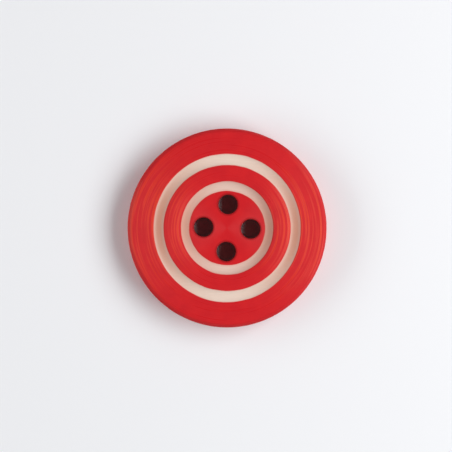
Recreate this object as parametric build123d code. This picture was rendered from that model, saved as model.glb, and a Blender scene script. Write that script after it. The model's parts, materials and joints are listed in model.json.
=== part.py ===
from build123d import *
import os

# A sew-through button, turned in one piece from dyed corozo nut and drilled for thread.
# Its face has a flat sunken eye, a crowned ridge and a gently sloping outer band.
# A round-nosed cutter left a cove on each side of the ridge, through the thin red skin of dye:
# the two coves are the pale rings.
# Millimetres. The origin is the centre of the flat back, and +Z points out of the face.

# The whole button
DIAMETER = 25.0
THICKNESS = 3.6  # from the back to the crown of the ridge

# The eye, where the thread goes through
EYE_RADIUS = 4.63
EYE_DEPTH = 0.7  # below the crown of the ridge

# The coves and the ridge between them
INNER_COVE_WIDTH = 1.24
INNER_COVE_DEPTH = 0.2  # below its own chord
RIDGE_WIDTH = 2.01
RIDGE_CROWN = 0.13
OUTER_COVE_WIDTH = 1.43
OUTER_COVE_DEPTH = 0.27

# The outer band and the rim
BAND_STEP = 0.02  # the band starts this much lower than the ridge's foot
BAND_FALL = 0.3
SHOULDER_SETBACK = 0.35  # the band's outer end, inside the rim
SHOULDER_RADIUS = 0.6
RIM_HIGH = 2.65  # the upper edge of the rim's upright wall
RIM_LOW = 1.15  # its lower edge
BACK_RADIUS = 11.35  # the flat of the back, inside the bevel

# The four sewing holes
HOLE_COUNT = 4
HOLE_DIAMETER = 2.4
HOLE_CIRCLE = 5.92  # diameter of the circle that the holes stand on
HOLE_MOUTH = 0.12  # how far the rounded mouth reaches, both outwards and down the wall
MOUTH_FULLNESS = 0.85  # 1 would carry the mouth's curve right into its corner
HOLE_BREAK = 0.1  # the bevel round the hole on the back

# Worked out from the sizes above
RIM_RADIUS = DIAMETER / 2
EYE_HEIGHT = THICKNESS - EYE_DEPTH
RIDGE_FOOT = THICKNESS - RIDGE_CROWN
RIDGE_INNER_RADIUS = EYE_RADIUS + INNER_COVE_WIDTH
RIDGE_OUTER_RADIUS = RIDGE_INNER_RADIUS + RIDGE_WIDTH
BAND_INNER_RADIUS = RIDGE_OUTER_RADIUS + OUTER_COVE_WIDTH
BAND_INNER_HEIGHT = RIDGE_FOOT - BAND_STEP
BAND_OUTER_RADIUS = RIM_RADIUS - SHOULDER_SETBACK
BAND_OUTER_HEIGHT = BAND_INNER_HEIGHT - BAND_FALL


def half_section():
    """The turned outline: from the axis out over the face, round the rim and along the back."""
    eye_centre = (0, EYE_HEIGHT)
    eye_edge = (EYE_RADIUS, EYE_HEIGHT)
    ridge_inner = (RIDGE_INNER_RADIUS, RIDGE_FOOT)
    ridge_outer = (RIDGE_OUTER_RADIUS, RIDGE_FOOT)
    band_inner = (BAND_INNER_RADIUS, BAND_INNER_HEIGHT)
    band_outer = (BAND_OUTER_RADIUS, BAND_OUTER_HEIGHT)
    rim = [(RIM_RADIUS, RIM_HIGH), (RIM_RADIUS, RIM_LOW)]
    back = [(BACK_RADIUS, 0), (0, 0)]
    outline = Curve() + [
        Line(eye_centre, eye_edge),
        SagittaArc(eye_edge, ridge_inner, -INNER_COVE_DEPTH),
        SagittaArc(ridge_inner, ridge_outer, RIDGE_CROWN),
        SagittaArc(ridge_outer, band_inner, -OUTER_COVE_DEPTH),
        Polyline(band_inner, band_outer, *rim, *back, eye_centre),
    ]
    section = make_face(outline)
    shoulder = section.vertices().sort_by_distance(Vertex(*band_outer, 0))[0]
    return fillet(shoulder, SHOULDER_RADIUS)


def turned_blank():
    """The button before drilling: its half section, turned about its axis."""
    return revolve(Plane.XZ * half_section(), Axis.Z)


def sewing_drill():
    """One drill as it stands in the button: its shoulder rounds the mouth for the thread."""
    wall = HOLE_DIAMETER / 2
    mouth = (wall + HOLE_MOUTH, EYE_HEIGHT)
    pull = HOLE_MOUTH * MOUTH_FULLNESS
    mouth_corner = (mouth[0] - pull, EYE_HEIGHT - HOLE_MOUTH + pull)
    wall_top = (wall, EYE_HEIGHT - HOLE_MOUTH)
    wall_foot = (wall, HOLE_BREAK)
    outline = Curve() + [
        Bezier(wall_top, mouth_corner, mouth),
        Polyline(mouth, (0, EYE_HEIGHT), (0, 0), (wall + HOLE_BREAK, 0), wall_foot, wall_top),
    ]
    return revolve(Plane.XZ * make_face(outline), Axis.Z)


def button():
    """The finished button, drilled at the four sewing holes."""
    drill = sewing_drill()
    return turned_blank() - [place * drill for place in PolarLocations(HOLE_CIRCLE / 2, HOLE_COUNT)]


os.makedirs("parts", exist_ok=True)
export_step(button(), "parts/button.step")
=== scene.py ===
"""A sew-through button of dyed corozo nut, with two cream coves turned into its red face.

The mesh is one quarter of the button, worked out from the turned section and the sewing holes.
A Geometry Nodes tree sets four quarters about the axis and adds the marks of the lathe.
"""

import json
import logging
import math
from dataclasses import dataclass, field
from enum import Enum

import bpy
from mathutils import Matrix, Vector


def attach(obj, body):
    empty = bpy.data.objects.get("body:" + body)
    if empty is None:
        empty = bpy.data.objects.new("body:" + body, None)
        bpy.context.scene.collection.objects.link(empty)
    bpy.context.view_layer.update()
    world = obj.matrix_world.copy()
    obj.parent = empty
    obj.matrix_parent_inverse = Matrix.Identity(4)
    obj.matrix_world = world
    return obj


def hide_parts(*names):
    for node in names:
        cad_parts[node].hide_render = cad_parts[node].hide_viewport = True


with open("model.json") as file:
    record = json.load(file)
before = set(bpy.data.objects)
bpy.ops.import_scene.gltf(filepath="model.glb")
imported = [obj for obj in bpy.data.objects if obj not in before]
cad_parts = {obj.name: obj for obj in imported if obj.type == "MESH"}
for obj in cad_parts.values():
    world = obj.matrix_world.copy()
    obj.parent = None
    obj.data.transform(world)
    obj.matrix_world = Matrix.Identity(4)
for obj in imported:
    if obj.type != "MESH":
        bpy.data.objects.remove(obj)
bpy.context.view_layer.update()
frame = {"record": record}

MM = 0.001  # lengths below are in millimetres, and Blender's are in metres
NOISE_LOW = 0.3  # most of a noise texture's values lie from here to NOISE_HIGH
NOISE_MIDDLE = 0.5
NOISE_HIGH = 0.7
log = logging.getLogger("button")

Place = tuple[float, float]  # distance from the axis and height, in millimetres
Colour = tuple[float, float, float, float]


def linear(code: str) -> Colour:
    """Turns an sRGB hex colour into linear light.

    Args:
        code: The colour, such as "#C8252B".

    Returns:
        Red, green, blue and an alpha of 1.
    """
    parts = (int(code[i : i + 2], 16) / 255 for i in (1, 3, 5))
    red, green, blue = (p / 12.92 if p <= 0.04045 else ((p + 0.055) / 1.055) ** 2.4 for p in parts)
    return (red, green, blue, 1.0)


def add(tree: bpy.types.NodeTree, kind: str, feeds: dict | None = None, **settings) -> bpy.types.Node:
    """Adds one node to a tree, with its settings and what feeds its sockets.

    A socket goes by its number where several have one name. In a Mix node, 0 is the share of the
    second value, 2 and 3 are its numbers, 6 and 7 its colours, and its output 2 is the mixed colour.

    Args:
        tree: The tree that gets the node.
        kind: Blender's name for the node's type.
        feeds: Each input's name or number, with a value or the output that is linked to it.
        **settings: The node's own properties.

    Returns:
        The new node.
    """
    node = tree.nodes.new(kind)
    for name, value in settings.items():
        setattr(node, name, value)
    for name, value in (feeds or {}).items():
        if isinstance(value, bpy.types.NodeSocket):
            tree.links.new(value, node.inputs[name])
        else:
            node.inputs[name].default_value = value
    return node


class Cut(Enum):
    """How a stretch of the section got its surface, with how strongly the lathe's marks show there."""

    POLISHED = 0.0
    TURNED = 1.0
    COVED = 0.25
    TRIMMED = 0.4


@dataclass(frozen=True)
class Ring:
    """One circle of the lathe mesh.

    Attributes:
        radius: Distance from the axis.
        height: Height above the back.
        bared: How deep the surface lies below the dyed skin that was cut away.
        marked: How strongly the marks of the lathe show, from 0 to 1.
        painted_shade: How much painted shade darkens the surface, from 0 to 1.
    """

    radius: float
    height: float
    bared: float
    marked: float
    painted_shade: float

    def towards(self, other: "Ring", share: float, place: Vector) -> "Ring":
        """Mixes what two rings carry, for a ring between them.

        Args:
            other: The second ring.
            share: How much of it goes into the mix, from 0 to 1.
            place: Distance from the axis and height of the new ring.

        Returns:
            The ring.
        """
        mixed = (
            near + (far - near) * share
            for near, far in (
                (self.bared, other.bared),
                (self.marked, other.marked),
                (self.painted_shade, other.painted_shade),
            )
        )
        return Ring(place.x, place.y, *mixed)


@dataclass(frozen=True)
class Run:
    """One stretch of the turned section, straight or bowed.

    Attributes:
        start: Where it starts.
        end: Where it ends.
        bow: How far its middle stands out from its chord, below zero for a hollow.
        soft: How much of it the rounding of its last corner takes.
        pitch: Distance from one ring of the mesh to the next.
        cut: How its surface was made.
        painted_shade: How much painted shade darkens it.
    """

    start: Place
    end: Place
    bow: float = 0.0
    soft: float = 0.05
    pitch: float = 0.12
    cut: Cut = Cut.POLISHED
    painted_shade: float = 0.0

    @property
    def chord(self) -> Vector:
        """The straight way from its start to its end."""
        return Vector(self.end) - Vector(self.start)

    @property
    def half_turn(self) -> float:
        """Half the angle that the arc turns through, in radians."""
        return 2 * math.atan(2 * self.bow / self.chord.length)

    def rise(self, share: float) -> float:
        """Gives how far the surface stands out from the chord.

        Args:
            share: The place along the run, from 0 to 1.

        Returns:
            The height above the chord, below zero in a hollow.
        """
        if not self.bow:
            return 0.0
        radius = self.chord.length / 2 / math.sin(self.half_turn)
        return radius * (math.cos((2 * share - 1) * self.half_turn) - math.cos(self.half_turn))

    def point(self, share: float) -> Vector:
        """Gives a point of the run.

        Args:
            share: The place along the run, from 0 to 1.

        Returns:
            Its distance from the axis and its height.
        """
        along = share
        if self.bow:
            along = (1 + math.sin((2 * share - 1) * self.half_turn) / math.sin(self.half_turn)) / 2
        across = self.chord.orthogonal().normalized()
        return Vector(self.start) + self.chord * along + across * self.rise(share)

    def heading(self, share: float) -> Vector:
        """Gives the direction of the run.

        Args:
            share: The place along the run, from 0 to 1.

        Returns:
            The unit tangent.
        """
        way = self.chord.normalized()
        way.rotate(Matrix.Rotation(-(2 * share - 1) * self.half_turn, 2))
        return way

    def ring(self, share: float) -> Ring:
        """Gives the mesh circle at a point of the run.

        Args:
            share: The place along the run, from 0 to 1.

        Returns:
            The ring.
        """
        place = self.point(share)
        bared = -self.rise(share) if self.cut is Cut.COVED else 0.0
        return Ring(place.x, place.y, bared, self.cut.value, self.painted_shade)


@dataclass(frozen=True)
class Section:
    """The turned half section of the button, from the floor of the eye round to the flat of the back.

    Attributes:
        diameter: Across the rim.
        thickness: From the back to the crown of the ridge.
    """

    diameter: float
    thickness: float
    inside: float = 4.48  # it starts and ends here, round the flats with the sewing holes
    eye_radius: float = 4.63
    eye_depth: float = 0.7
    inner_cove_width: float = 1.24
    inner_cove_depth: float = 0.2
    ridge_width: float = 2.01
    ridge_crown: float = 0.13
    outer_cove_width: float = 1.43
    outer_cove_depth: float = 0.27
    band_step: float = 0.02
    band_fall: float = 0.3
    band_crown: float = 0.02
    shoulder_setback: float = 0.35
    rim_high: float = 2.65
    rim_low: float = 1.15
    back_radius: float = 11.35
    lip: float = 0.05  # how far tumbling rounds the sharp edges, measured from each
    corner_steps: int = 5  # divisions of each rounded corner

    @property
    def eye_height(self) -> float:
        """Height of the eye's floor above the back."""
        return self.thickness - self.eye_depth

    def runs(self) -> list[Run]:
        """Lays out the stretches of the section, in order.

        Returns:
            The runs, each starting where the one before it ends.
        """
        foot = self.thickness - self.ridge_crown
        rim = self.diameter / 2
        ridge_inner = self.eye_radius + self.inner_cove_width
        ridge_outer = ridge_inner + self.ridge_width
        band_inner = ridge_outer + self.outer_cove_width
        band_height = foot - self.band_step
        places = [
            (self.inside, self.eye_height),
            (self.eye_radius, self.eye_height),
            (ridge_inner, foot),
            (ridge_outer, foot),
            (band_inner, band_height),
            (rim - self.shoulder_setback, band_height - self.band_fall),
            (rim, self.rim_high),
            (rim, self.rim_low),
            (self.back_radius, 0.0),
            (self.inside, 0.0),
        ]
        lip = self.lip
        inner_cove, outer_cove = -self.inner_cove_depth, -self.outer_cove_depth
        facts = [
            dict(soft=lip, pitch=0.05),  # floor of the eye
            # the inner cove: painted red-tinted shade, deep in the eye
            dict(soft=lip, pitch=0.05, bow=inner_cove, cut=Cut.COVED, painted_shade=0.14),
            dict(soft=lip, pitch=0.035, bow=self.ridge_crown, cut=Cut.TURNED),
            dict(soft=lip, pitch=0.05, bow=outer_cove, cut=Cut.COVED),
            dict(soft=0.27, pitch=0.035, bow=self.band_crown, cut=Cut.TURNED),  # outer band
            dict(soft=0.2, pitch=0.08, cut=Cut.TRIMMED, painted_shade=0.22),  # shoulder, darkened by painted shade
            dict(soft=0.3, pitch=0.3, cut=Cut.TRIMMED, painted_shade=0.2),  # wall of the rim, darkened by painted shade
            dict(soft=0.2, pitch=0.3, cut=Cut.TRIMMED, painted_shade=0.1),  # bevel behind it, with a little painted shade
            dict(soft=0.0, pitch=0.25, cut=Cut.TRIMMED),  # flat of the back
        ]
        return [Run(a, b, **said) for a, b, said in zip(places, places[1:], facts)]

    def corner(self, before: Run, after: Run) -> list[Ring]:
        """Rounds the corner where two runs meet.

        Args:
            before: The run that ends there.
            after: The run that starts there.

        Returns:
            The rings of the rounding, without its two ends.
        """
        leaving = 1 - before.soft / before.chord.length
        joining = before.soft / after.chord.length
        first, last = before.point(leaving), after.point(joining)
        out, back = before.heading(leaving), after.heading(joining)
        peak = first + out * ((last - first).cross(back) / out.cross(back))
        rings = []
        for step in range(1, self.corner_steps):
            share = step / self.corner_steps
            place = first.lerp(peak, share).lerp(peak.lerp(last, share), share)
            rings.append(before.ring(leaving).towards(after.ring(joining), share, place))
        return rings

    def rings(self) -> list[Ring]:
        """Divides the section into the circles of the lathe mesh.

        Returns:
            The rings, from the floor of the eye outwards, round the rim and in along the back.
        """
        runs = self.runs()
        rings: list[Ring] = []
        for place, run in enumerate(runs):
            size = run.chord.length
            opening = runs[place - 1].soft / size if place else 0.0
            closing = 1 - run.soft / size if place < len(runs) - 1 else 1.0
            span = closing - opening
            steps = max(2, round(span * size / run.pitch))
            rings += [run.ring(opening + span * step / steps) for step in range(steps + 1)]
            if place < len(runs) - 1:
                rings += self.corner(run, runs[place + 1])
        return rings


@dataclass(frozen=True)
class SewingHole:
    """One of the four drilled holes, with a rounded mouth on the face and a softer edge behind.

    Attributes:
        radius: Of the drilled wall.
        centre: Distance of its centre from the button's axis.
    """

    radius: float
    centre: float
    mouth: float = 0.12
    back_edge: float = 0.1
    halo: float = 0.32  # how far the painted shade of the hole spreads round its mouth
    mouth_steps: int = 6
    wall_steps: int = 6

    def painted_shade(self, point: Vector) -> float:
        """Gives how much painted shade darkens a point in or near the hole.

        Args:
            point: The point, on the face, on the wall or on the back.

        Returns:
            1 on the wall, falling to 0 at the edge of the halo.
        """
        outside = math.hypot(point.x - self.centre, point.y) - self.radius
        return min(1.0, max(0.0, 1 - outside / self.halo))

    def levels(self, top: float) -> list[Place]:
        """Lists the circles of the hole's wall.

        Args:
            top: The height of the face round the hole.

        Returns:
            The radius and height of each circle, from the mouth down to the back.
        """
        quarter = [math.pi / 2 * step / self.mouth_steps for step in range(self.mouth_steps + 1)]
        upper = [
            (
                self.radius + self.mouth * (1 - math.sin(turn)),
                top - self.mouth * (1 - math.cos(turn)),
            )
            for turn in quarter
        ]
        lower = [
            (
                self.radius + self.back_edge * (1 - math.cos(turn)),
                self.back_edge * (1 - math.sin(turn)),
            )
            for turn in quarter
        ]
        high, low = upper[-1][1], lower[0][1]
        wall = [
            (self.radius, high + (low - high) * step / self.wall_steps)
            for step in range(1, self.wall_steps)
        ]
        return upper + wall + lower


@dataclass
class Sheet:
    """A mesh in the making, with the values that its surface carries from point to point."""

    points: list[Vector] = field(default_factory=list)
    faces: list[tuple[int, int, int, int]] = field(default_factory=list)
    bared: list[float] = field(default_factory=list)
    marked: list[float] = field(default_factory=list)
    painted_shade: list[float] = field(default_factory=list)

    def row(self, points: list[Vector], carried: list[tuple[float, float, float]]) -> list[int]:
        """Adds a row of points.

        Args:
            points: Their places.
            carried: For each, how deep it lies below the dyed skin, how strongly the marks of
                the lathe show on it and how much painted shade darkens it.

        Returns:
            Their numbers in the mesh.
        """
        first = len(self.points)
        self.points += points
        for values, taken in zip((self.bared, self.marked, self.painted_shade), zip(*carried)):
            values += taken
        return list(range(first, len(self.points)))

    def join(self, rows: list[list[int]], closed: bool) -> None:
        """Fills the space between neighbouring rows with faces.

        Args:
            rows: Rows of equal length, each to the right of the one before it as the rows run.
            closed: Whether each row is a loop.
        """
        for near, far in zip(rows, rows[1:]):
            count = len(near)
            for here in range(count if closed else count - 1):
                there = (here + 1) % count
                self.faces.append((near[here], far[here], far[there], near[there]))

    def mesh(self, name: str) -> bpy.types.Mesh:
        """Makes the Blender mesh.

        Args:
            name: Its name.

        Returns:
            The mesh, in metres, with its values as attributes.
        """
        mesh = bpy.data.meshes.new(name)
        mesh.from_pydata([point * MM for point in self.points], [], self.faces)
        for label in ("bared", "marked", "painted_shade"):
            carried = mesh.attributes.new(label, "FLOAT", "POINT")
            carried.data.foreach_set("value", getattr(self, label))
        return mesh


@dataclass(frozen=True)
class LatheMarks:
    """The fine rings that the turning tool leaves, which tumbling has worn down.

    Real feed marks are closer than this picture can show, so the pitch is that of the wider
    waves among them.

    Attributes:
        pitch: From one wave to the next, on average.
        depth: Of the noise from 0 to 1. The waves use about half of it.
        seed: Which waves these are.
    """

    pitch: float = 0.36
    depth: float = 0.016
    seed: float = 3.7


@dataclass(frozen=True)
class TurnedButton:
    """The whole button: four quarters alike, each with a sewing hole.

    Attributes:
        section: The turned half section.
        hole: The sewing hole of one quarter.
        marks: The marks of the lathe.
        quarters: How many there are.
        steps: Divisions of the rim in one quarter.
        floor_steps: Divisions from a hole's mouth out to the edge of its quarter.
        crowding: How much closer those stand near the hole, where 1 spaces them evenly.
        weld: Points of neighbouring quarters that are nearer than this become one.
    """

    section: Section
    hole: SewingHole
    marks: LatheMarks = LatheMarks()
    quarters: int = 4
    steps: int = 60
    floor_steps: int = 9
    crowding: float = 1.4
    weld: float = 0.002

    @property
    def half_angle(self) -> float:
        """Half of the angle that a quarter spans."""
        return math.pi / self.quarters

    def rim_row(self, radius: float, height: float) -> list[Vector]:
        """Lays points along an arc of the quarter.

        Args:
            radius: The arc's radius about the button's axis.
            height: Its height.

        Returns:
            The points, anticlockwise.
        """
        turns = (self.half_angle * (2 * step / self.steps - 1) for step in range(self.steps + 1))
        return [Vector((radius * math.cos(turn), radius * math.sin(turn), height)) for turn in turns]

    def quarter_edge(self, height: float) -> list[Vector]:
        """Walks round the floor of the quarter: along its arc, in to the axis and out again.

        Args:
            height: The height of the floor.

        Returns:
            A closed loop of points, anticlockwise.
        """
        arc = self.rim_row(self.section.inside, height)
        axis = Vector((0, 0, height))
        half = self.steps // 2
        inwards = [arc[-1].lerp(axis, step / half) for step in range(1, half + 1)]
        outwards = [axis.lerp(arc[0], step / half) for step in range(1, half)]
        return arc + inwards + outwards

    def hole_row(self, radius: float, height: float) -> list[Vector]:
        """Lays points round the hole, one for each point of the quarter's edge.

        Args:
            radius: The circle's radius about the hole's axis.
            height: Its height.

        Returns:
            A closed loop of points, anticlockwise.
        """
        reach = self.section.inside
        corner = math.atan2(
            reach * math.sin(self.half_angle), reach * math.cos(self.half_angle) - self.hole.centre
        )
        half = self.steps // 2
        facing = [corner * (2 * step / self.steps - 1) for step in range(self.steps + 1)]
        past = [corner + (math.pi - corner) * step / half for step in range(1, half + 1)]
        behind = [math.pi + (math.pi - corner) * step / half for step in range(1, half)]
        return [
            Vector((self.hole.centre + radius * math.cos(turn), radius * math.sin(turn), height))
            for turn in facing + past + behind
        ]

    def floor_rows(self, height: float, mouth: float) -> list[list[Vector]]:
        """Spreads the flat round a hole from its mouth to the quarter's edge.

        Args:
            height: The height of the flat.
            mouth: The radius of the hole's mouth.

        Returns:
            The loops, from the edge in to the mouth and without the mouth itself.
        """
        edge, circle = self.quarter_edge(height), self.hole_row(mouth, height)
        shares = [(1 - step / self.floor_steps) ** self.crowding for step in range(self.floor_steps)]
        return [[near.lerp(far, share) for near, far in zip(circle, edge)] for share in shares]

    def quarter(self) -> bpy.types.Mesh:
        """Builds the quarter that faces along +X, with its hole.

        Returns:
            The mesh, open along its two straight sides.
        """
        sheet = Sheet()
        lathe = [
            sheet.row(
                self.rim_row(ring.radius, ring.height),
                [(ring.bared, ring.marked, ring.painted_shade)] * (self.steps + 1),
            )
            for ring in self.section.rings()
        ]
        sheet.join(lathe, closed=False)
        levels = self.hole.levels(self.section.eye_height)
        face = self.floor_rows(self.section.eye_height, levels[0][0])
        wall = [self.hole_row(radius, height) for radius, height in levels]
        back = self.floor_rows(0.0, levels[-1][0])
        rows = [
            sheet.row(loop, [(0.0, 0.0, self.hole.painted_shade(point)) for point in loop])
            for loop in face + wall + back[::-1]
        ]
        sheet.join(rows[::-1], closed=True)
        return sheet.mesh("quarter")

    def tree(self) -> tuple[bpy.types.NodeTree, dict[str, str]]:
        """Writes the Geometry Nodes tree that sets the quarters about the axis and marks the face.

        Returns:
            The tree, and the identifier of each of its named inputs.
        """
        tree = bpy.data.node_groups.new("four turned quarters", "GeometryNodeTree")
        sockets = {
            "Quarter": "NodeSocketGeometry",
            "Quarters": "NodeSocketInt",
            "Weld": "NodeSocketFloat",
            "Mark Pitch": "NodeSocketFloat",
            "Mark Depth": "NodeSocketFloat",
            "Seed": "NodeSocketFloat",
            "Finish": "NodeSocketMaterial",
        }
        names = {
            name: tree.interface.new_socket(name=name, in_out="INPUT", socket_type=kind).identifier
            for name, kind in sockets.items()
        }
        tree.interface.new_socket(name="Button", in_out="OUTPUT", socket_type="NodeSocketGeometry")
        given = add(tree, "NodeGroupInput").outputs

        # the quarters, all from points on the axis and each turned on by one quarter
        stations = add(
            tree,
            "GeometryNodeMeshLine",
            {"Count": given["Quarters"], "Offset": (0, 0, 0)},
        )
        part_turn = add(
            tree,
            "ShaderNodeMath",
            {0: math.tau, 1: given["Quarters"]},
            operation="DIVIDE",
        )
        number = add(tree, "GeometryNodeInputIndex")
        turn = add(
            tree,
            "ShaderNodeMath",
            {0: number.outputs[0], 1: part_turn.outputs[0]},
            operation="MULTIPLY",
        )
        facing = add(tree, "ShaderNodeCombineXYZ", {"Z": turn.outputs[0]})
        quarters = add(
            tree,
            "GeometryNodeInstanceOnPoints",
            {
                "Points": stations.outputs[0],
                "Instance": given["Quarter"],
                "Rotation": facing.outputs[0],
            },
        )
        real = add(tree, "GeometryNodeRealizeInstances", {"Geometry": quarters.outputs[0]})
        welded = add(
            tree,
            "GeometryNodeMergeByDistance",
            {"Geometry": real.outputs[0], "Distance": given["Weld"]},
        )

        # the marks of the lathe, by distance from the axis
        position = add(tree, "GeometryNodeInputPosition")
        place = add(tree, "ShaderNodeSeparateXYZ", {0: position.outputs[0]})
        flat = add(tree, "ShaderNodeCombineXYZ", {"X": place.outputs["X"], "Y": place.outputs["Y"]})
        radius = add(tree, "ShaderNodeVectorMath", {0: flat.outputs[0]}, operation="LENGTH")
        count = add(
            tree,
            "ShaderNodeMath",
            {0: radius.outputs["Value"], 1: given["Mark Pitch"]},
            operation="DIVIDE",
        )
        drawn = add(tree, "ShaderNodeMath", {0: count.outputs[0], 1: given["Seed"]}, operation="ADD")
        waves = add(
            tree,
            "ShaderNodeTexNoise",
            {"W": drawn.outputs[0], "Scale": 1.0, "Detail": 1.0},
            noise_dimensions="1D",
        )
        swing = add(
            tree,
            "ShaderNodeMath",
            {0: waves.outputs[0], 1: NOISE_MIDDLE},
            operation="SUBTRACT",
        )
        deep = add(
            tree,
            "ShaderNodeMath",
            {0: swing.outputs[0], 1: given["Mark Depth"]},
            operation="MULTIPLY",
        )
        marked = add(tree, "GeometryNodeInputNamedAttribute", {"Name": "marked"}, data_type="FLOAT")
        lift = add(
            tree,
            "ShaderNodeMath",
            {0: deep.outputs[0], 1: marked.outputs[0]},
            operation="MULTIPLY",
        )
        outwards = add(tree, "GeometryNodeInputNormal")
        offset = add(
            tree,
            "ShaderNodeVectorMath",
            {0: outwards.outputs[0], "Scale": lift.outputs[0]},
            operation="SCALE",
        )
        worked = add(
            tree,
            "GeometryNodeSetPosition",
            {"Geometry": welded.outputs[0], "Offset": offset.outputs[0]},
        )
        smooth = add(tree, "GeometryNodeSetShadeSmooth", {"Geometry": worked.outputs[0]})
        dressed = add(
            tree,
            "GeometryNodeSetMaterial",
            {"Geometry": smooth.outputs[0], "Material": given["Finish"]},
        )
        add(tree, "NodeGroupOutput", {0: dressed.outputs[0]})
        return tree, names

    def build(self, finish: bpy.types.Material) -> bpy.types.Object:
        """Makes the finished piece.

        Args:
            finish: The material of the button.

        Returns:
            The object, a plain mesh at the origin.
        """
        start = bpy.data.objects.new("quarter", self.quarter())
        bpy.context.scene.collection.objects.link(start)
        tree, names = self.tree()
        maker = start.modifiers.new("four turned quarters", "NODES")
        maker.node_group = tree
        maker[names["Quarters"]] = self.quarters
        maker[names["Weld"]] = self.weld * MM
        maker[names["Mark Pitch"]] = self.marks.pitch * MM
        maker[names["Mark Depth"]] = self.marks.depth * MM
        maker[names["Seed"]] = self.marks.seed
        maker[names["Finish"]] = finish
        graph = bpy.context.evaluated_depsgraph_get()
        mesh = bpy.data.meshes.new_from_object(start.evaluated_get(graph), depsgraph=graph)
        mesh.name = "turned_button"
        start.modifiers.remove(maker)
        bpy.data.objects.remove(start)
        piece = bpy.data.objects.new("turned_button", mesh)
        bpy.context.scene.collection.objects.link(piece)
        return piece


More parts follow.
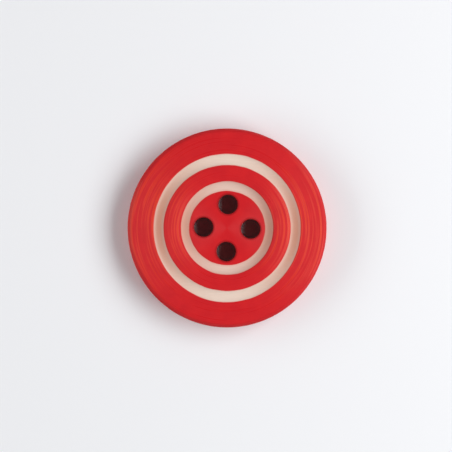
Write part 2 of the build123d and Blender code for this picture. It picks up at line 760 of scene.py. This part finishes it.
@dataclass(frozen=True)
class DyedCorozo:
    """Corozo nut, turned, dyed red through a thin skin, coved, drilled and tumbled.

    The skin gives a deep, even red with a satin gloss, which the rings of the lathe draw out
    into streaks on the two sides that face the lamps, where a painted orange sheen lightens the
    red as well. The coves were cut through the skin afterwards, so they show the ivory nut. Its
    fibres run from side to side. The coves carry painted shade: tan at three and nine o'clock, and a
    red tint near their edges.
    """

    red: str = "#DC272A"
    deep_red: str = "#C71E27"
    sheen_red: str = "#EE4E32"  # painted sheen: a lighter orange where the lathe's marks cross the sides that face the lamps
    shade_red: str = "#8C090E"  # painted shade: a darker red in and round the sewing holes and on the rim
    ivory: str = "#F0DDD0"
    deep_ivory: str = "#E6CCBB"
    # painted shade: the tan of the coves at three and nine o'clock
    shade_tan: str = "#C4826A"
    skin: float = 0.02  # how deep the dye went
    skin_drift: float = 0.01  # how much that depth wanders
    creep: float = 0.035  # how much deeper the red reaches on the sides that face the lamps, part of the painted shade of the coves there
    fade: float = 0.12  # below the skin, how deep the painted red-tinted shade of the coves reaches
    faded: float = 0.2  # how strong it is at the edge of a cove
    cove_shade_edge: float = 0.5  # painted shade: how tan the sides that face the lamps are at the edge of a cove
    cove_shade: float = 0.85  # and at its bottom, where the painted shade is deepest
    cove_shade_depth: float = 0.2  # how deep that bottom lies
    thinning: float = 0.008  # how far above its own bottom the skin starts to pale
    clearing: float = 0.012  # and how far below it the red is gone
    painted_sheen: float = 0.6  # how strongly the painted sheen lightens the red in the marks of the lathe
    sheen_focus: float = 2.0  # how closely it keeps to the sides that face the lamps
    mottle: float = 1.6  # size of the clouds in the colour
    fibre: float = 0.09  # twice the real width, because the picture shows nothing finer
    fibre_length: float = 1.8
    grit: float = 0.09  # the tumbling stones' marks, coarser than they are, so that they show
    grit_depth: float = 0.002
    grit_strength: float = 0.3
    feed: float = 0.2  # the lathe's feed, as coarse as the picture can show
    drag: float = 9.0  # how far a mark of the lathe runs on before it fades
    mark_start: float = 0.44  # the noise's value where a mark starts
    mark_full: float = 0.64  # and where it is at its strongest
    seed: float = 91.6  # which marks these are, out of all that the lathe might leave
    polish: float = 0.38  # roughness where only the tumbling shows
    turned: float = 0.7  # between the marks of the lathe
    burnished: float = 0.26  # in the marks, where the tool rubbed
    coved: float = 0.3  # in the coves
    drilled: float = 1.0  # in the sewing holes
    shine: float = 0.23  # matched to the photograph, where the highlights are weak
    drawn_out: float = 0.9  # how much the rings of the lathe stretch the highlights
    across_rings: float = 0.25  # a quarter turn: they stretch across the rings
    refraction: float = 1.54

    def material(self) -> bpy.types.Material:
        """Builds the material's nodes.

        Returns:
            The material.
        """
        paint = bpy.data.materials.new("corozo nut, turned, dyed and tumbled")
        paint.use_nodes = True
        tree = paint.node_tree
        tree.nodes.clear()

        # the place on the button, and how squarely it faces the lamps at three and nine o'clock
        spot = add(tree, "ShaderNodeTexCoord").outputs["Object"]
        place = add(tree, "ShaderNodeSeparateXYZ", {0: spot})
        flat = add(tree, "ShaderNodeCombineXYZ", {"X": place.outputs["X"], "Y": place.outputs["Y"]})
        radius = add(tree, "ShaderNodeVectorMath", {0: flat.outputs[0]}, operation="LENGTH")
        outwards = add(tree, "ShaderNodeVectorMath", {0: flat.outputs[0]}, operation="NORMALIZE")
        sideways = add(tree, "ShaderNodeSeparateXYZ", {0: outwards.outputs[0]}).outputs["X"]
        squared = add(tree, "ShaderNodeMath", {0: sideways, 1: sideways}, operation="MULTIPLY")
        facing_lamps = squared.outputs[0]

        # the patterns of the nut, the lathe and the tumbling
        clouds = add(
            tree,
            "ShaderNodeTexNoise",
            {"Vector": spot, "Scale": 1 / (self.mottle * MM), "Detail": 3.0},
        )
        turns = add(
            tree,
            "ShaderNodeMath",
            {0: radius.outputs["Value"], 1: self.drag / self.feed, 2: self.seed * MM},
            operation="MULTIPLY_ADD",
        )
        feed = add(
            tree,
            "ShaderNodeTexNoise",
            {"Vector": spot, "W": turns.outputs[0], "Scale": 1 / (self.drag * MM), "Detail": 1.0},
            noise_dimensions="4D",
        )
        width = 1 / (self.fibre * MM)
        stretched = add(
            tree,
            "ShaderNodeMapping",
            {"Vector": spot, "Scale": (1 / (self.fibre_length * MM), width, width)},
        )
        fibres = add(
            tree,
            "ShaderNodeTexNoise",
            {"Vector": stretched.outputs[0], "Scale": 1.0, "Detail": 2.0},
        )
        grit = add(
            tree,
            "ShaderNodeTexNoise",
            {"Vector": spot, "Scale": 1 / (self.grit * MM), "Detail": 2.0, "Roughness": 0.65},
        )

        # where the cutter went through the dyed skin
        bared = add(tree, "ShaderNodeAttribute", attribute_name="bared").outputs["Fac"]
        drift = add(
            tree,
            "ShaderNodeMapRange",
            {
                "Value": clouds.outputs[0],
                "From Min": NOISE_LOW,
                "From Max": NOISE_HIGH,
                "To Min": self.skin - self.skin_drift,
                "To Max": self.skin + self.skin_drift,
            },
        )
        depth = add(
            tree,
            "ShaderNodeMath",
            {0: facing_lamps, 1: self.creep, 2: drift.outputs[0]},
            operation="MULTIPLY_ADD",
        )
        past = add(tree, "ShaderNodeMath", {0: bared, 1: depth.outputs[0]}, operation="SUBTRACT")
        cleared = add(
            tree,
            "ShaderNodeMath",
            {0: facing_lamps, 1: self.creep, 2: self.clearing},
            operation="MULTIPLY_ADD",
        )
        cut = add(
            tree,
            "ShaderNodeMapRange",
            {"Value": past.outputs[0], "From Min": -self.thinning, "From Max": cleared.outputs[0]},
            interpolation_type="SMOOTHSTEP",
        )

        # painted shade on the ivory: a red tint near the edges of the coves, then tan on the sides
        # that face the lamps, deepest at the bottoms
        edge_shade = add(
            tree,
            "ShaderNodeMapRange",
            {"Value": past.outputs[0], "From Max": self.fade, "To Min": self.faded, "To Max": 0.0},
        )
        # painted shade: tan on the sides that face the lamps, deepest at the bottom of a cove
        cove_shade_by_depth = add(
            tree,
            "ShaderNodeMapRange",
            {
                "Value": past.outputs[0],
                "From Max": self.cove_shade_depth,
                "To Min": self.cove_shade_edge,
                "To Max": self.cove_shade,
            },
        )
        cove_shade = add(tree, "ShaderNodeMath", {0: facing_lamps, 1: cove_shade_by_depth.outputs[0]}, operation="MULTIPLY")

        # painted sheen: lighter orange in the lathe's marks on the sides that face the lamps
        marked = add(tree, "ShaderNodeAttribute", attribute_name="marked").outputs["Fac"]
        streak = add(
            tree,
            "ShaderNodeMapRange",
            {"Value": feed.outputs[0], "From Min": self.mark_start, "From Max": self.mark_full},
            interpolation_type="SMOOTHSTEP",
        )
        dragged = add(
            tree,
            "ShaderNodeMath",
            {0: streak.outputs[0], 1: marked},
            operation="MULTIPLY",
        )
        focused = add(
            tree,
            "ShaderNodeMath",
            {0: facing_lamps, 1: self.sheen_focus},
            operation="POWER",
        )
        sheen_spread = add(
            tree,
            "ShaderNodeMath",
            {0: focused.outputs[0], 1: dragged.outputs[0]},
            operation="MULTIPLY",
        )
        painted_sheen = add(tree, "ShaderNodeMath", {0: sheen_spread.outputs[0], 1: self.painted_sheen}, operation="MULTIPLY")

        # the colours of the red skin, then of the ivory under it
        painted_shade = add(tree, "ShaderNodeAttribute", attribute_name="painted_shade").outputs["Fac"]
        red = add(
            tree,
            "ShaderNodeMix",
            {0: clouds.outputs[0], 6: linear(self.deep_red), 7: linear(self.red)},
            data_type="RGBA",
        )
        # the red with its painted sheen
        sheen_red = add(
            tree,
            "ShaderNodeMix",
            {0: painted_sheen.outputs[0], 6: red.outputs[2], 7: linear(self.sheen_red)},
            data_type="RGBA",
        )
        # painted shade: a deeper red in the sewing holes, on the shoulder and round the rim
        dyed = add(
            tree,
            "ShaderNodeMix",
            {0: painted_shade, 6: sheen_red.outputs[2], 7: linear(self.shade_red)},
            data_type="RGBA",
        )
        ivory = add(
            tree,
            "ShaderNodeMix",
            {0: fibres.outputs[0], 6: linear(self.deep_ivory), 7: linear(self.ivory)},
            data_type="RGBA",
        )
        # painted red-tinted shade on the ivory: near the edges of the coves, on the inner cove and in
        # the holes
        tint = add(tree, "ShaderNodeMath", {0: edge_shade.outputs[0], 1: painted_shade}, operation="ADD")
        tinted_ivory = add(
            tree,
            "ShaderNodeMix",
            {0: tint.outputs[0], 6: ivory.outputs[2], 7: red.outputs[2]},
            data_type="RGBA",
        )
        shaded_ivory = add(
            tree,
            "ShaderNodeMix",
            {0: cove_shade.outputs[0], 6: tinted_ivory.outputs[2], 7: linear(self.shade_tan)},
            data_type="RGBA",
        )
        colour = add(
            tree,
            "ShaderNodeMix",
            {0: cut.outputs[0], 6: dyed.outputs[2], 7: shaded_ivory.outputs[2]},
            data_type="RGBA",
        )

        # the gloss: marks that the tool burnished, on a surface that tumbling left satin
        burnish = add(
            tree,
            "ShaderNodeMapRange",
            {"Value": streak.outputs[0], "To Min": self.turned, "To Max": self.burnished},
        )
        skin_gloss = add(
            tree,
            "ShaderNodeMix",
            {0: marked, 2: self.polish, 3: burnish.outputs[0]},
            data_type="FLOAT",
        )
        face_gloss = add(
            tree,
            "ShaderNodeMix",
            {0: cut.outputs[0], 2: skin_gloss.outputs[0], 3: self.coved},
            data_type="FLOAT",
        )
        # the sewing holes, under the same mask as the painted shade, are rough
        roughness = add(
            tree,
            "ShaderNodeMix",
            {0: painted_shade, 2: face_gloss.outputs[0], 3: self.drilled},
            data_type="FLOAT",
        )
        bump = add(
            tree,
            "ShaderNodeBump",
            {
                "Strength": self.grit_strength,
                "Distance": self.grit_depth * MM,
                "Height": grit.outputs[0],
            },
        )
        lay = add(tree, "ShaderNodeTangent", direction_type="RADIAL", axis="Z")
        shader = add(
            tree,
            "ShaderNodeBsdfPrincipled",
            {
                "Base Color": colour.outputs[2],
                "Roughness": roughness.outputs[0],
                "IOR": self.refraction,
                "Specular IOR Level": self.shine,
                "Anisotropic": self.drawn_out,
                "Anisotropic Rotation": self.across_rings,
                "Tangent": lay.outputs[0],
                "Normal": bump.outputs[0],
            },
        )
        add(tree, "ShaderNodeOutputMaterial", {"Surface": shader.outputs[0]})
        return paint


@dataclass(frozen=True)
class MattPaper:
    """Coated board, rolled smooth and matt: a pale ground that takes a soft shadow."""

    pale: str = "#F5F6F9"
    roughness: float = 0.9
    shine: float = 0.1

    def material(self) -> bpy.types.Material:
        """Builds the material's nodes.

        Returns:
            The material.
        """
        paint = bpy.data.materials.new("coated board, rolled matt")
        paint.use_nodes = True
        tree = paint.node_tree
        tree.nodes.clear()
        shader = add(
            tree,
            "ShaderNodeBsdfPrincipled",
            {
                "Base Color": linear(self.pale),
                "Roughness": self.roughness,
                "Specular IOR Level": self.shine,
            },
        )
        add(tree, "ShaderNodeOutputMaterial", {"Surface": shader.outputs[0]})
        return paint


@dataclass(frozen=True)
class SoftBox:
    """A long soft lamp that faces the button.

    Attributes:
        name: Its name.
        side: The direction that it stands in, in degrees anticlockwise from +X.
        height: Its angle above the ground, in degrees.
        level: About how bright it alone would make a white ground, where 1 is white.
        wide: Its length, level with the ground.
        tall: Its other side.
        distance: From the button.
    """

    name: str
    side: float
    height: float
    level: float
    wide: float
    tall: float
    distance: float = 320.0

    def build(self) -> None:
        """Sets the lamp up."""
        side, height = math.radians(self.side), math.radians(self.height)
        away = Vector(
            (math.cos(side) * math.cos(height), math.sin(side) * math.cos(height), math.sin(height))
        )
        lamp = bpy.data.lights.new(self.name, "AREA")
        lamp.shape = "RECTANGLE"
        lamp.size = self.wide * MM
        lamp.size_y = self.tall * MM
        lamp.energy = 4 * math.pi * (self.distance * MM) ** 2 * self.level / math.sin(height)
        stand = bpy.data.objects.new(self.name, lamp)
        stand.location = away * self.distance * MM
        stand.rotation_euler = away.to_track_quat("Z", "Y").to_euler()
        bpy.context.scene.collection.objects.link(stand)


@dataclass(frozen=True)
class Studio:
    """A pale ground in a light tent, with a lamp on each side and the camera straight above.

    Attributes:
        rim_radius: The button's radius.
        rim_height: The height of its rim, where the photograph's outline lies.
    """

    rim_radius: float
    rim_height: float
    picture: int = 452  # pixels along a side of the photograph
    centre_right: float = 227.1  # the button's centre in it, in pixels
    centre_down: float = 228.0
    outline: float = 99.55  # the radius of the button in it, in pixels
    roll: float = 2.2  # how far the photograph turns the button clockwise, in degrees
    camera_height: float = 420.0
    sensor: float = 36.0
    ground: float = 3000.0
    ground_gap: float = 0.01  # the rings of the lathe stand out from the back by less
    tent: float = 0.38  # how bright the tent's sides are
    tent_top: float = 0.03  # and its top
    tent_side_height: float = 0.6  # the sides reach up to here, where 1 is straight overhead
    tent_top_height: float = 0.95  # and the top starts here
    lamps: tuple[SoftBox, ...] = (
        SoftBox("lamp_right", side=2, height=42, level=0.58, wide=420, tall=170),
        SoftBox("lamp_left", side=182, height=27, level=0.16, wide=420, tall=120),
    )

    def add_ground(self, finish: MattPaper) -> None:
        """Lays the ground.

        Args:
            finish: What it is made of.
        """
        half = self.ground / 2 * MM
        level = -self.ground_gap * MM
        signs = ((-1, -1), (1, -1), (1, 1), (-1, 1))
        mesh = bpy.data.meshes.new("ground")
        mesh.from_pydata([(x * half, y * half, level) for x, y in signs], [], [(0, 1, 2, 3)])
        mesh.materials.append(finish.material())
        ground = bpy.data.objects.new("ground", mesh)
        bpy.context.scene.collection.objects.link(ground)

    def add_tent(self) -> None:
        """Lights the scene from a pale tent, darker overhead where the camera looks in."""
        world = bpy.data.worlds.new("light tent")
        world.use_nodes = True
        tree = world.node_tree
        tree.nodes.clear()
        way = add(tree, "ShaderNodeTexCoord").outputs["Generated"]
        up = add(tree, "ShaderNodeSeparateXYZ", {0: way}).outputs["Z"]
        level = add(
            tree,
            "ShaderNodeMapRange",
            {
                "Value": up,
                "From Min": self.tent_side_height,
                "From Max": self.tent_top_height,
                "To Min": self.tent,
                "To Max": self.tent_top,
            },
            interpolation_type="SMOOTHSTEP",
        )
        seen = add(tree, "ShaderNodeLightPath").outputs["Is Camera Ray"]
        strength = add(
            tree,
            "ShaderNodeMix",
            {0: seen, 2: level.outputs[0], 3: 1.0},
            data_type="FLOAT",
        )
        sky = add(
            tree,
            "ShaderNodeBackground",
            {"Color": linear("#FFFFFF"), "Strength": strength.outputs[0]},
        )
        add(tree, "ShaderNodeOutputWorld", {"Surface": sky.outputs[0]})
        bpy.context.scene.world = world

    def add_camera(self) -> None:
        """Sets the camera above the button, rolled and placed as the photograph shows it."""
        pixel = self.rim_radius / self.outline
        away = self.camera_height - self.rim_height
        camera = bpy.data.cameras.new("camera")
        camera.sensor_width = self.sensor
        camera.lens = self.sensor * away / (self.picture * pixel)
        stand = bpy.data.objects.new("camera", camera)
        turn = Matrix.Rotation(math.radians(self.roll), 3, "Z")
        middle = self.picture / 2
        aim = turn @ Vector((middle - self.centre_right, self.centre_down - middle, 0)) * pixel
        stand.location = Vector((aim.x, aim.y, self.camera_height)) * MM
        stand.rotation_euler = turn.to_euler()
        bpy.context.scene.collection.objects.link(stand)
        bpy.context.scene.camera = stand

    def build(self) -> None:
        """Sets the whole studio up."""
        self.add_ground(MattPaper())
        self.add_tent()
        for lamp in self.lamps:
            lamp.build()
        self.add_camera()
        bpy.context.scene.view_settings.view_transform = "Standard"


def holes_in(record: dict) -> SewingHole:
    """Reads the sewing hole that stands on +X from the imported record.

    Args:
        record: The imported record.

    Returns:
        The hole.
    """
    mounts = {mount["name"]: mount for mount in record["mounts"]}
    right = mounts["sewing_hole_right"]
    return SewingHole(radius=right["dims"]["r_mm"], centre=right["pos_m"][0] / MM)


def main() -> None:
    """Builds the button and its studio, and logs the button's face count and the number of lamps."""
    logging.basicConfig(level=logging.INFO, format="%(name)s: %(message)s")
    across, _, tall = (size / MM for size in frame["record"]["size"]["bbox_m"])
    section = Section(diameter=across, thickness=tall)
    button = TurnedButton(section, holes_in(frame["record"]))
    piece = button.build(DyedCorozo().material())
    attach(piece, "root")
    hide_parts("button")
    log.info("%s: %d faces", piece.name, len(piece.data.polygons))
    studio = Studio(rim_radius=across / 2, rim_height=section.rim_high)
    studio.build()
    log.info("studio: %d lamps", len(studio.lamps))


if __name__ == "__main__":
    main()
